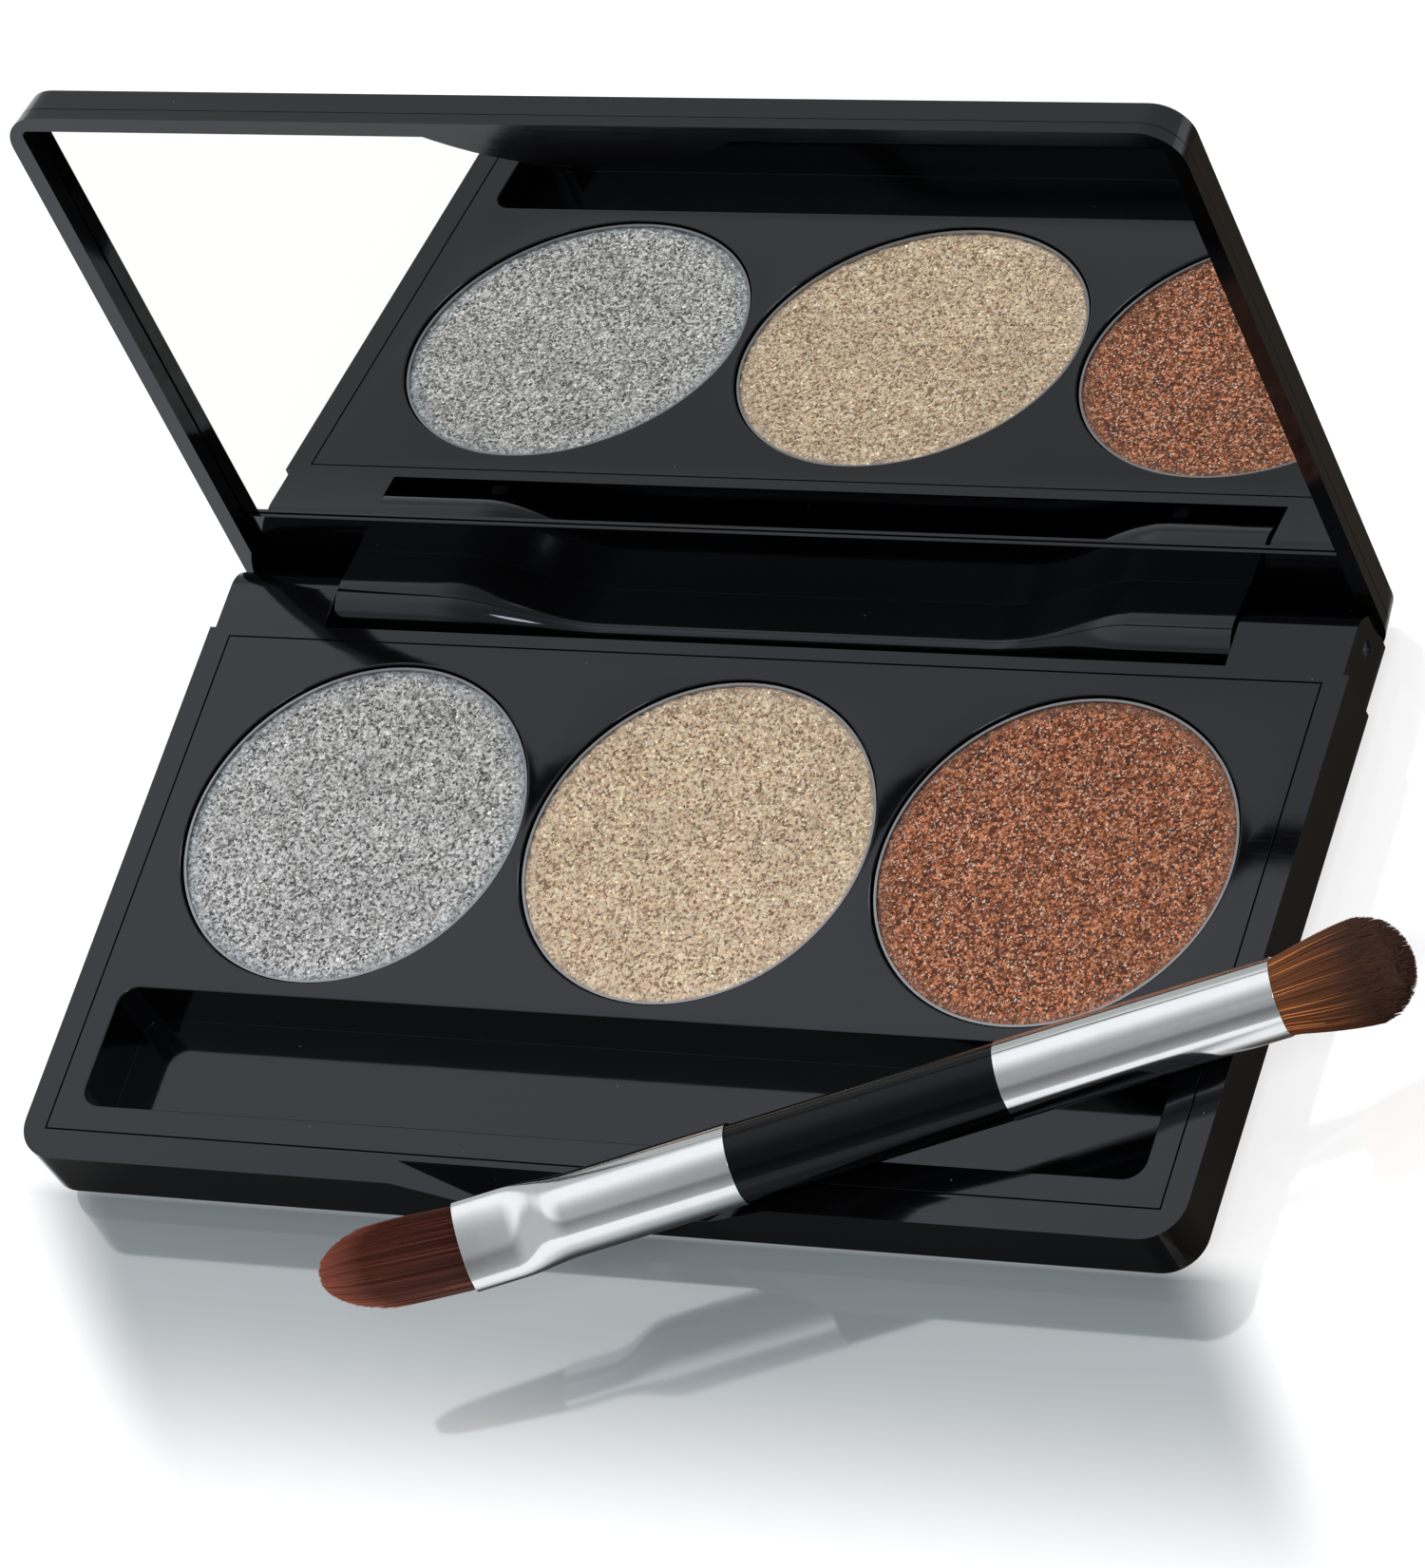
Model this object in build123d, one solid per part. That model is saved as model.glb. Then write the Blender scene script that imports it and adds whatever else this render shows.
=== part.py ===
from build123d import *
import os
from math import asin, atan2, cos, hypot, pi, sin

os.makedirs("parts", exist_ok=True)

# Slim three-pan eyeshadow palette with a mirror lid and a double-ended brush.
# Millimetres. +X to the right, +Y to the hinge, +Z up. The origin is the centre
# of the flat underside. The lid is modelled shut and then swung open.

# ---- driving dimensions ----
WIDTH = 88.4              # base and lid
BASE_DEPTH = 49.6
BASE_HEIGHT = 6.6         # underside to rim
LID_HEIGHT = 3.9
LID_GAP = 0.1             # between base rim and shut lid
LID_OPEN = 97.3           # degrees between shut and open
CORNER = 3.0              # plan radius of the outer corners
PAN_RADIUS = 13.0         # standard 26 mm pans
PAN_PITCH = 27.0
PAN_Y = 3.5
PAN_TOP = BASE_HEIGHT - 0.22

# ---- base shell ----
FRONT_Y = -BASE_DEPTH / 2
BEVEL_HEIGHT = 1.9        # lower edge cut back all round
BEVEL_INSET = 2.2
WALL_DRAFT = 0.16         # inset of the wall's foot
STEP_Y = 19.05            # behind this the side walls stand in a little
STEP_INSET = 0.45
BACK_LEAN = 0.4           # rear wall's slope below the knuckle
FLOOR = 1.2
LEDGE = 1.1               # shelf that carries the insert
LEDGE_GAP = 0.05
NOTCH_HALF_WIDTH = 14.3
NOTCH_FLAT_HALF = 9.0
NOTCH_DROP = 2.2
NOTCH_DEPTH = 1.8

# ---- hinge ----
HINGE_Y = 22.6
HINGE_Z = 4.4
BASE_KNUCKLE = 2.2
TONGUE_RADIUS = 2.5
WEB_RADIUS = 0.95         # tongue's rounded edge between the bosses
TONGUE_TAPER = 0.25       # thinner where it leaves the lid
TONGUE_HALF = 34.8
BOSS_END = 27.0           # bosses run from the ends to here, the web from there inwards
WEB_END = 15.0
BLEND_STEPS = 12
SLOT_HALF = 35.0
SLOT_FRONT = 19.4
SLOT_FLOOR = 1.6
RIB_FROM_END = 8.3        # two small ribs on the slot's front wall
RIB_HALF = 0.6
RIB_REACH = 0.45
RIB_DROP = 0.9
PIN_RADIUS = 0.6
PIN_CLEARANCE = 0.05
PIN_INNER = 30.0
PIN_OUTER = 43.5

# ---- insert ----
INSERT_WIDTH = 84.6
INSERT_FRONT = -22.4
INSERT_BACK = 18.3
INSERT_PLATE = 1.2
INSERT_GAP = 0.12
CUP_WALL = 0.65
SEAT_TOP = 2.7
SEAT_THICKNESS = 0.8
WELL_HALF = 40.4
WELL_FRONT = -20.4
WELL_BACK = -10.8
WELL_CORNER = 1.5
WELL_DEPTH = 4.3
WELL_WALL = 0.7
PAN_CLEARANCE = 0.15
OPENING_RADIUS = 0.12     # moulded radius round the pan holes and the well

# ---- pans ----
PAN_WALL = 0.2
GLUE_THICKNESS = 0.2
GLUE_INSET = 2.0
POWDER_DROP = 0.1
POWDER_EDGE = 0.12

# ---- lid ----
LID_Z = BASE_HEIGHT + LID_GAP
LID_BACK = HINGE_Y + 3.2
LID_DRAFT = 0.12          # inset for each millimetre of height
COVER_WALL = 0.7
COVER_BEVEL = 0.9
FRAME_FIT = 0.07          # frame's clearance inside the cover
FRAME_BACKING = 0.5
BAND_HEIGHT = 1.0         # visible edge of the frame, below the cover
PARTING = 0.06
RIM_WIDTH = 1.3
MIRROR_RECESS = 1.4
MIRROR_THICKNESS = 1.0
MIRROR_BACK = 17.0
MIRROR_GAP = 0.1
MIRROR_CORNER = 0.5
PAD_THICKNESS = 0.25
PAD_INSET = 3.6
PAD_CORNER = 1.0
STRIP_RECESS = 1.05
TAB_HALF = 12.1
TAB_REACH = 3.0
TAB_RECESS = 0.24
TAB_THICKNESS = 0.6

# ---- brush, measured from the tip of its flat end ----
FLAT_HEAD = 10.7
HEAD_LEAN = 0.08          # flat head's sideways lean for each millimetre from the ferrule
FLAT_FERRULE_END = 30.3
HANDLE_END = 49.2
ROUND_FERRULE_END = 68.4
BRUSH_LENGTH = 77.7
HANDLE_RADIUS = 2.65
FLAT_FERRULE_RADIUS = 2.8
ROUND_FERRULE_RADIUS = 2.7
FERRULE_WALL = 0.22
TENON = 6.0
TENON_FIT = 0.01
FLAT_BRISTLE_ROOT = 3.7
ROUND_BRISTLE_ROOT = 5.0
CRIMP_HALF_WIDTH = 3.1
CRIMP_HALF_THICKNESS = 1.4
CRIMP_END = 14.1
CRIMP_BLEND_END = 18.5
CRIMP_STEPS = 6
BRUSH_TIP = (-14.9, -35.0)
BRUSH_HEADING = 23.55     # degrees from +X
BRUSH_ROLL = 36.6         # flat head turned towards the front
BRUSH_GAP = 0.02


def outline(z, inset, y_front, y_back, r_front, r_back, half_width=WIDTH / 2):
    """Rounded rectangle at height z, set in on every side."""
    w, f, b = half_width - inset, y_front + inset, y_back - inset
    face = Face(Wire.make_polygon([(-w, f), (w, f), (w, b), (-w, b)], close=True))
    corners = face.vertices().sort_by(Axis.Y)
    if r_front > inset:
        face = face.fillet_2d(max(r_front - inset, 0.3), corners[:2])
    corners = [v for v in face.vertices() if v.Y > b - 0.01 and abs(abs(v.X) - w) < 0.01]
    if r_back > inset:
        face = face.fillet_2d(max(r_back - inset, 0.3), corners)
    return Pos(0, 0, z) * face


def block(x0, x1, y0, y1, z0, z1):
    """Box between two opposite corners."""
    centre = Pos((x0 + x1) / 2, (y0 + y1) / 2, (z0 + z1) / 2)
    return centre * Box(x1 - x0, y1 - y0, z1 - z0)


def disc(x, y, z0, z1, radius):
    """Upright cylinder from z0 to z1."""
    return Pos(x, y, (z0 + z1) / 2) * Cylinder(radius, z1 - z0)


def rod(x0, x1, radius, y=0.0, z=0.0):
    """Cylinder lying along X."""
    return Pos((x0 + x1) / 2, y, z) * Rot(0, 90, 0) * Cylinder(radius, x1 - x0)


def pan_centres():
    return [(-PAN_PITCH, PAN_Y), (0.0, PAN_Y), (PAN_PITCH, PAN_Y)]


# ---------------------------------------------------------------- base
def base_body():
    """Outer block of the base, before anything is cut from it."""
    front = (FRONT_Y, STEP_Y, CORNER, 0.0)
    upper = loft([outline(BEVEL_HEIGHT, WALL_DRAFT, *front), outline(BASE_HEIGHT, 0, *front)], ruled=True)
    lower = loft([outline(0, BEVEL_INSET, *front), outline(BEVEL_HEIGHT, WALL_DRAFT, *front)], ruled=True)
    back_y = HINGE_Y + BASE_KNUCKLE
    half = WIDTH / 2 - STEP_INSET
    inner_y = STEP_Y - 2 * BEVEL_INSET
    profile = Plane.YZ * make_face(
        Polyline((inner_y, BASE_HEIGHT), (inner_y, 0), (back_y - BEVEL_INSET - BACK_LEAN, 0),
                 (back_y - BACK_LEAN, BEVEL_HEIGHT), (back_y, HINGE_Z))
        + RadiusArc((back_y, HINGE_Z), (HINGE_Y, BASE_HEIGHT), -BASE_KNUCKLE)
        + Line((HINGE_Y, BASE_HEIGHT), (inner_y, BASE_HEIGHT)))
    rear = extrude(profile, half, both=True)
    side_bevel = [Plane.XZ * make_face(Polyline((s * half, BEVEL_HEIGHT), (s * (half - BEVEL_INSET), 0),
                                                (s * half, 0), close=True)) for s in (-1, 1)]
    for face in side_bevel:
        rear -= extrude(Pos(0, HINGE_Y, 0) * face, 20, both=True)
    return upper + lower + rear


def thumb_notch():
    """Scoop in the front rim, with sloping ends."""
    top = BASE_HEIGHT + 1
    rise = 1 + NOTCH_DROP
    run = (NOTCH_HALF_WIDTH - NOTCH_FLAT_HALF) / NOTCH_DROP * rise
    floor_z = BASE_HEIGHT - NOTCH_DROP
    wide = NOTCH_FLAT_HALF + run
    profile = make_face(Polyline((-wide, top), (-NOTCH_FLAT_HALF, floor_z), (NOTCH_FLAT_HALF, floor_z),
                                 (wide, top), close=True))
    scoop = Pos(0, FRONT_Y, 0) * extrude(Plane.XZ * profile, 10, both=True)
    return scoop & block(-30, 30, FRONT_Y - 2, FRONT_Y + NOTCH_DEPTH, 0, 20)


def base_shell():
    shell = base_body()
    pocket = INSERT_GAP
    ledge_z = BASE_HEIGHT - INSERT_PLATE - LEDGE_GAP
    half = INSERT_WIDTH / 2
    shell -= block(-half - pocket, half + pocket, INSERT_FRONT - pocket, INSERT_BACK + pocket,
                   ledge_z, BASE_HEIGHT + 1)
    shell -= block(-half + LEDGE, half - LEDGE, INSERT_FRONT + LEDGE - pocket, INSERT_BACK - LEDGE + 0.2,
                   FLOOR, ledge_z + 1)
    shell -= block(-SLOT_HALF, SLOT_HALF, SLOT_FRONT, HINGE_Y + 5, SLOT_FLOOR, BASE_HEIGHT + 1)
    shell -= thumb_notch()
    for side in (-1, 1):
        rib_x = side * (SLOT_HALF - RIB_FROM_END)
        shell += block(rib_x - RIB_HALF, rib_x + RIB_HALF, SLOT_FRONT - 0.2, SLOT_FRONT + RIB_REACH,
                       FLOOR, BASE_HEIGHT - RIB_DROP)
    shell -= rod(-WIDTH, WIDTH, PIN_RADIUS, HINGE_Y, HINGE_Z)
    return shell


def insert_plate():
    half = INSERT_WIDTH / 2
    under = BASE_HEIGHT - INSERT_PLATE
    plate = block(-half, half, INSERT_FRONT, INSERT_BACK, under, BASE_HEIGHT)
    seat_under = SEAT_TOP - SEAT_THICKNESS
    hole = PAN_RADIUS + PAN_CLEARANCE
    for x, y in pan_centres():
        plate += disc(x, y, seat_under, under + 0.1, hole + CUP_WALL)
    well_floor = BASE_HEIGHT - WELL_DEPTH
    plate += block(-WELL_HALF - WELL_WALL, WELL_HALF + WELL_WALL, WELL_FRONT - WELL_WALL,
                   WELL_BACK + WELL_WALL, well_floor - WELL_WALL, under + 0.1)
    for x, y in pan_centres():
        plate -= disc(x, y, SEAT_TOP, BASE_HEIGHT + 1, hole)
    well = outline(well_floor, 0, WELL_FRONT, WELL_BACK, WELL_CORNER, WELL_CORNER, WELL_HALF)
    plate -= extrude(well, WELL_DEPTH + 1)
    rims = plate.faces().sort_by(Axis.Z)[-1].inner_wires()
    return fillet([e for w in rims for e in w.edges()], OPENING_RADIUS)


def pan(x, y):
    """Pressed aluminium tray with a plain upright wall."""
    bottom = SEAT_TOP + GLUE_THICKNESS
    return (disc(x, y, bottom, PAN_TOP, PAN_RADIUS)
            - disc(x, y, bottom + PAN_WALL, PAN_TOP + 1, PAN_RADIUS - PAN_WALL))


def powder(x, y):
    """Pressed cake that fills the pan nearly to its edge."""
    bottom = SEAT_TOP + GLUE_THICKNESS + PAN_WALL
    cake = disc(x, y, bottom, PAN_TOP - POWDER_DROP, PAN_RADIUS - PAN_WALL)
    return chamfer(cake.edges().sort_by(Axis.Z)[-1], POWDER_EDGE)


def pan_glue(x, y):
    return disc(x, y, SEAT_TOP, SEAT_TOP + GLUE_THICKNESS, PAN_RADIUS - GLUE_INSET)


# ---------------------------------------------------------------- lid, shut
def lid_outline(height, inset=0.0):
    """Lid's outside at a height above its rim, following the draft."""
    return outline(LID_Z + height, inset + height * LID_DRAFT, FRONT_Y, LID_BACK, CORNER, CORNER)


def lid_slab(low, high, inset=0.0):
    return loft([lid_outline(low, inset), lid_outline(high, inset)], ruled=True)


def tongue_section(x, thin):
    """Hinge tongue's section: a full barrel where thin is 0, a light web where thin is 1."""
    radius = TONGUE_RADIUS + (WEB_RADIUS - TONGUE_RADIUS) * thin
    cy, cz = HINGE_Y + TONGUE_RADIUS - radius, HINGE_Z
    root_z = LID_Z + STRIP_RECESS + 0.4
    root_y = cy - radius + TONGUE_TAPER
    # the front line leaves the barrel as a tangent and ends at the root
    rise, run = root_z - cz, cy - root_y
    turn = asin(radius / hypot(rise, run)) - atan2(run, rise)
    ty, tz = cy - radius * cos(turn), cz + radius * sin(turn)
    mid = -(pi + turn) / 2
    my, mz = cy + radius * cos(mid), cz + radius * sin(mid)
    wire = Wire([
        Edge.make_line((x, cy + radius, root_z), (x, cy + radius, cz)),
        Edge.make_three_point_arc((x, cy + radius, cz), (x, my, mz), (x, ty, tz)),
        Edge.make_line((x, ty, tz), (x, root_y, root_z)),
        Edge.make_line((x, root_y, root_z), (x, cy + radius, root_z)),
    ])
    return Face(wire)


def hinge_tongue():
    """Bar that fills the slot: thick bosses at its ends, a light web between."""
    stations = [(-TONGUE_HALF, 0.0)]
    for i in range(BLEND_STEPS + 1):
        part_way = i / BLEND_STEPS
        stations.append((-BOSS_END + (BOSS_END - WEB_END) * part_way, (1 - cos(pi * part_way)) / 2))
    stations += [(-x, thin) for x, thin in reversed(stations)]
    tongue = None
    for (x0, thin0), (x1, thin1) in zip(stations, stations[1:]):
        piece = loft([tongue_section(x0, thin0), tongue_section(x1, thin1)], ruled=True)
        tongue = piece if tongue is None else tongue + piece
    # its back stays clear of the cover's wall
    tongue -= block(-SLOT_HALF, SLOT_HALF, LID_BACK - COVER_WALL - 0.25, LID_BACK + 1,
                    LID_Z + BAND_HEIGHT, LID_Z + BAND_HEIGHT + 2)
    for side in (-1, 1):
        inner, outer = sorted((side * (PIN_INNER - 0.3), side * (TONGUE_HALF + 1)))
        tongue -= rod(inner, outer, PIN_RADIUS + PIN_CLEARANCE, HINGE_Y, HINGE_Z)
    return tongue


def lid_frame():
    """Inner frame: rim band, mirror tray, finger tab and hinge tongue."""
    tray_height = MIRROR_RECESS + MIRROR_THICKNESS + PAD_THICKNESS
    back_height = tray_height + FRAME_BACKING
    frame = lid_slab(0, BAND_HEIGHT)
    frame += lid_slab(BAND_HEIGHT - 0.1, back_height, COVER_WALL + FRAME_FIT)
    half = WIDTH / 2 - RIM_WIDTH
    rim_front = FRONT_Y + RIM_WIDTH
    tray = outline(LID_Z - 1, 0, rim_front, MIRROR_BACK, 0.6, 0.0, half)
    frame -= extrude(tray, 1 + tray_height)
    frame -= block(-half, half, MIRROR_BACK - 1, LID_BACK - RIM_WIDTH, LID_Z - 1, LID_Z + STRIP_RECESS)
    tab_radius = (TAB_HALF ** 2 + TAB_REACH ** 2) / (2 * TAB_REACH)
    tab_z = LID_Z + TAB_RECESS
    tab = disc(0, rim_front + TAB_REACH - tab_radius, tab_z, tab_z + TAB_THICKNESS, tab_radius)
    frame += tab & block(-20, 20, rim_front - 0.3, rim_front + 5, tab_z, tab_z + 1)
    return frame + hinge_tongue()


def lid_cover():
    """Outer cover: a shallow drafted shell with a bevelled edge."""
    low, wall_top = BAND_HEIGHT + PARTING, LID_HEIGHT - COVER_BEVEL
    cover = lid_slab(low, wall_top)
    cover += loft([lid_outline(wall_top), lid_outline(LID_HEIGHT, COVER_BEVEL)], ruled=True)
    return cover - lid_slab(low - 0.5, LID_HEIGHT - COVER_WALL, COVER_WALL)


def mirror():
    z = LID_Z + MIRROR_RECESS
    inset = RIM_WIDTH + MIRROR_GAP
    face = outline(z, 0, FRONT_Y + inset, MIRROR_BACK - MIRROR_GAP, MIRROR_CORNER, MIRROR_CORNER,
                   WIDTH / 2 - inset)
    return extrude(face, MIRROR_THICKNESS)


def mirror_pad():
    z = LID_Z + MIRROR_RECESS + MIRROR_THICKNESS
    face = outline(z, 0, FRONT_Y + RIM_WIDTH + PAD_INSET, MIRROR_BACK - PAD_INSET, PAD_CORNER, PAD_CORNER,
                   WIDTH / 2 - RIM_WIDTH - PAD_INSET)
    return extrude(face, PAD_THICKNESS)


def swing_open(solid):
    """Turn a lid piece from shut to open about the hinge."""
    return solid.rotate(Axis((0, HINGE_Y, HINGE_Z), (1, 0, 0)), -LID_OPEN)


# ---------------------------------------------------------------- pins
def hinge_pin(side):
    inner, outer = sorted((side * PIN_INNER, side * PIN_OUTER))
    return rod(inner, outer, PIN_RADIUS, HINGE_Y, HINGE_Z)


# ---------------------------------------------------------------- brush, along X
def ferrule_form(shrink, extra=0.0):
    """Outer form of the flat end's ferrule, crimped from round to oval, less shrink all round."""
    crimp, tube = (CRIMP_HALF_WIDTH, CRIMP_HALF_THICKNESS), (FLAT_FERRULE_RADIUS, FLAT_FERRULE_RADIUS - 0.002)
    stations = [(FLAT_HEAD - extra, crimp)]
    for i in range(CRIMP_STEPS + 1):
        part_way = i / CRIMP_STEPS
        ease = (1 - cos(pi * part_way)) / 2
        half = tuple(c + (t - c) * ease for c, t in zip(crimp, tube))
        stations.append((CRIMP_END + (CRIMP_BLEND_END - CRIMP_END) * part_way, half))
    stations.append((FLAT_FERRULE_END + extra, tube))
    ovals = [Plane((s, 0, 0), x_dir=(0, 1, 0), z_dir=(1, 0, 0)) * Ellipse(w - shrink, t - shrink)
             for s, (w, t) in stations]
    return loft(ovals, ruled=True)


def ferrule_flat():
    return ferrule_form(0) - ferrule_form(FERRULE_WALL, 1.0)


def ferrule_round():
    tube = rod(HANDLE_END, ROUND_FERRULE_END, ROUND_FERRULE_RADIUS)
    return tube - rod(HANDLE_END - 1, ROUND_FERRULE_END + 1, ROUND_FERRULE_RADIUS - FERRULE_WALL)


def brush_handle():
    """Lacquered middle with a tenon into each ferrule."""
    inside = FERRULE_WALL + TENON_FIT
    return (rod(FLAT_FERRULE_END, HANDLE_END, HANDLE_RADIUS)
            + rod(FLAT_FERRULE_END - TENON, FLAT_FERRULE_END + 1, FLAT_FERRULE_RADIUS - inside)
            + rod(HANDLE_END - 1, HANDLE_END + TENON, ROUND_FERRULE_RADIUS - inside))


def flat_bristles():
    """Filbert head, seen from above as a rounded blade, and its root in the ferrule."""
    w, t = CRIMP_HALF_WIDTH - FERRULE_WALL, CRIMP_HALF_THICKNESS - FERRULE_WALL
    full = w + 0.17
    side = [(7.4, full), (4.2, 0.9 * full), (1.8, 0.64 * full)]
    curve = ([(FLAT_HEAD, w)] + side + [(0, 0)]
             + [(s, -half) for s, half in reversed(side)] + [(FLAT_HEAD, -w)])
    leaning = [(s, y + HEAD_LEAN * (FLAT_HEAD - s)) for s, y in curve]
    blade = make_face(Line((FLAT_HEAD, -w), (FLAT_HEAD, w))
                      + Spline(*leaning, tangents=((-1, 0.1 + HEAD_LEAN), (1, 0.1 - HEAD_LEAN))))
    tip = 0.4
    profile = Plane.XZ * make_face(Polyline((0, -tip), (FLAT_HEAD, -t), (FLAT_HEAD, t), (0, tip), close=True))
    head = extrude(blade, 3, both=True) & extrude(profile, 6, both=True)
    plane = Plane((FLAT_HEAD, 0, 0), x_dir=(0, 1, 0), z_dir=(1, 0, 0))
    return head + extrude(plane * Ellipse(w, t), FLAT_BRISTLE_ROOT)


def round_bristles():
    """Soft domed head, wider than its ferrule, and its root."""
    bore = ROUND_FERRULE_RADIUS - FERRULE_WALL
    start, end = ROUND_FERRULE_END, BRUSH_LENGTH
    face = make_face(
        Polyline((end, 0), (start - ROUND_BRISTLE_ROOT, 0), (start - ROUND_BRISTLE_ROOT, bore), (start, bore))
        + Spline((start, bore), (start + 2.6, 2.98), (start + 5.8, 3.46), (end - 1.3, 2.5), (end, 0),
                 tangents=((1, 0.25), (0, -1))))
    return revolve(face, Axis.X)


def bristle_glue_flat():
    """Set resin behind the flat bundle's root."""
    root = FLAT_HEAD + FLAT_BRISTLE_ROOT
    return ferrule_form(FERRULE_WALL) & block(root, root + 3, -5, 5, -5, 5)


def bristle_glue_round():
    end = ROUND_FERRULE_END - ROUND_BRISTLE_ROOT
    return rod(end - 2.5, end, ROUND_FERRULE_RADIUS - FERRULE_WALL)


def lay_brush(solid):
    """Rest the brush across the front and right rims."""
    axis_height = BASE_HEIGHT + FLAT_FERRULE_RADIUS + BRUSH_GAP
    return Location((*BRUSH_TIP, axis_height), (0, 0, BRUSH_HEADING)) * Rot(BRUSH_ROLL, 0, 0) * solid


# ---------------------------------------------------------------- export
nodes = {
    "base_shell": base_shell(),
    "insert_plate": insert_plate(),
    "hinge_pin_left": hinge_pin(-1),
    "hinge_pin_right": hinge_pin(1),
}
for name, (x, y) in zip(("silver", "champagne", "bronze"), pan_centres()):
    nodes["pan_" + name] = pan(x, y)
    nodes["powder_" + name] = powder(x, y)
    nodes["pan_glue_" + name] = pan_glue(x, y)
for piece in (lid_cover, lid_frame, mirror, mirror_pad):
    nodes[piece.__name__] = swing_open(piece())
for piece in (brush_handle, ferrule_flat, ferrule_round, flat_bristles, round_bristles,
              bristle_glue_flat, bristle_glue_round):
    nodes[piece.__name__] = lay_brush(piece())
for name, solid in nodes.items():
    export_step(solid, f"parts/{name}.step")
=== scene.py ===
import random
from math import cos, pi, radians, sin

import bpy
from mathutils import Matrix, Vector, noise


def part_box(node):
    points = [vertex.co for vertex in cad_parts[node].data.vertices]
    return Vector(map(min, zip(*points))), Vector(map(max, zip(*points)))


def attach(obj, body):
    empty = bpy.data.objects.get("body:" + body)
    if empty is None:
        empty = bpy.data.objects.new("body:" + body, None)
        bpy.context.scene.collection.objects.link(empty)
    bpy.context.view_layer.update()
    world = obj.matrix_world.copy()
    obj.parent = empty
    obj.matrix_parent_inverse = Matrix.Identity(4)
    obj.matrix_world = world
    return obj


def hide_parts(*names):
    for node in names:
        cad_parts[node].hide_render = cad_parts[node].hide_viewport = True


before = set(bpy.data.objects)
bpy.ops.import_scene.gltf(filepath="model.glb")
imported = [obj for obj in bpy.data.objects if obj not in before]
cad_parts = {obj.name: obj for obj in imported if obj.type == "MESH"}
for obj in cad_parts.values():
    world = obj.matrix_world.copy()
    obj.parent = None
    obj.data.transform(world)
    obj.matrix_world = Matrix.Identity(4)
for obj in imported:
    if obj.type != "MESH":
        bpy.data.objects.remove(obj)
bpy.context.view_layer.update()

# Looks of a three-pan eyeshadow palette: gloss black casing, silvered mirror, three
# glittery pressed powders in aluminium pans, and a double-ended brush with real hairs.
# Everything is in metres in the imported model's frame; MM turns millimetres into metres.
MM = 0.001
random.seed(20)


# ---------------------------------------------------------------- camera
CAMERA_TARGET = Vector((0.0008, 0.0070, 0.0083))
CAMERA_DISTANCE = 0.62857
CAMERA_AZIMUTH = radians(45.06)      # turned from looking along +Y towards looking along -X
CAMERA_ELEVATION = radians(48.94)
CAMERA_ROLL = radians(-34.18)
LENS = 212.0
SENSOR = 36.0


def build_camera():
    """The photographer's camera: high, from the front right, and rolled."""
    forward = Vector((-sin(CAMERA_AZIMUTH) * cos(CAMERA_ELEVATION),
                      cos(CAMERA_AZIMUTH) * cos(CAMERA_ELEVATION), -sin(CAMERA_ELEVATION)))
    level = forward.cross(Vector((0, 0, 1))).normalized()
    right = cos(CAMERA_ROLL) * level + sin(CAMERA_ROLL) * level.cross(forward)
    up = right.cross(forward)
    data = bpy.data.cameras.new("camera")
    data.lens, data.sensor_width, data.clip_start, data.clip_end = LENS, SENSOR, 0.01, 20
    camera = bpy.data.objects.new("camera", data)
    bpy.context.scene.collection.objects.link(camera)
    camera.matrix_world = Matrix((
        (right.x, up.x, -forward.x, 0), (right.y, up.y, -forward.y, 0),
        (right.z, up.z, -forward.z, 0), (0, 0, 0, 1)))
    camera.matrix_world.translation = CAMERA_TARGET - CAMERA_DISTANCE * forward
    bpy.context.scene.camera = camera
    return forward


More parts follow.
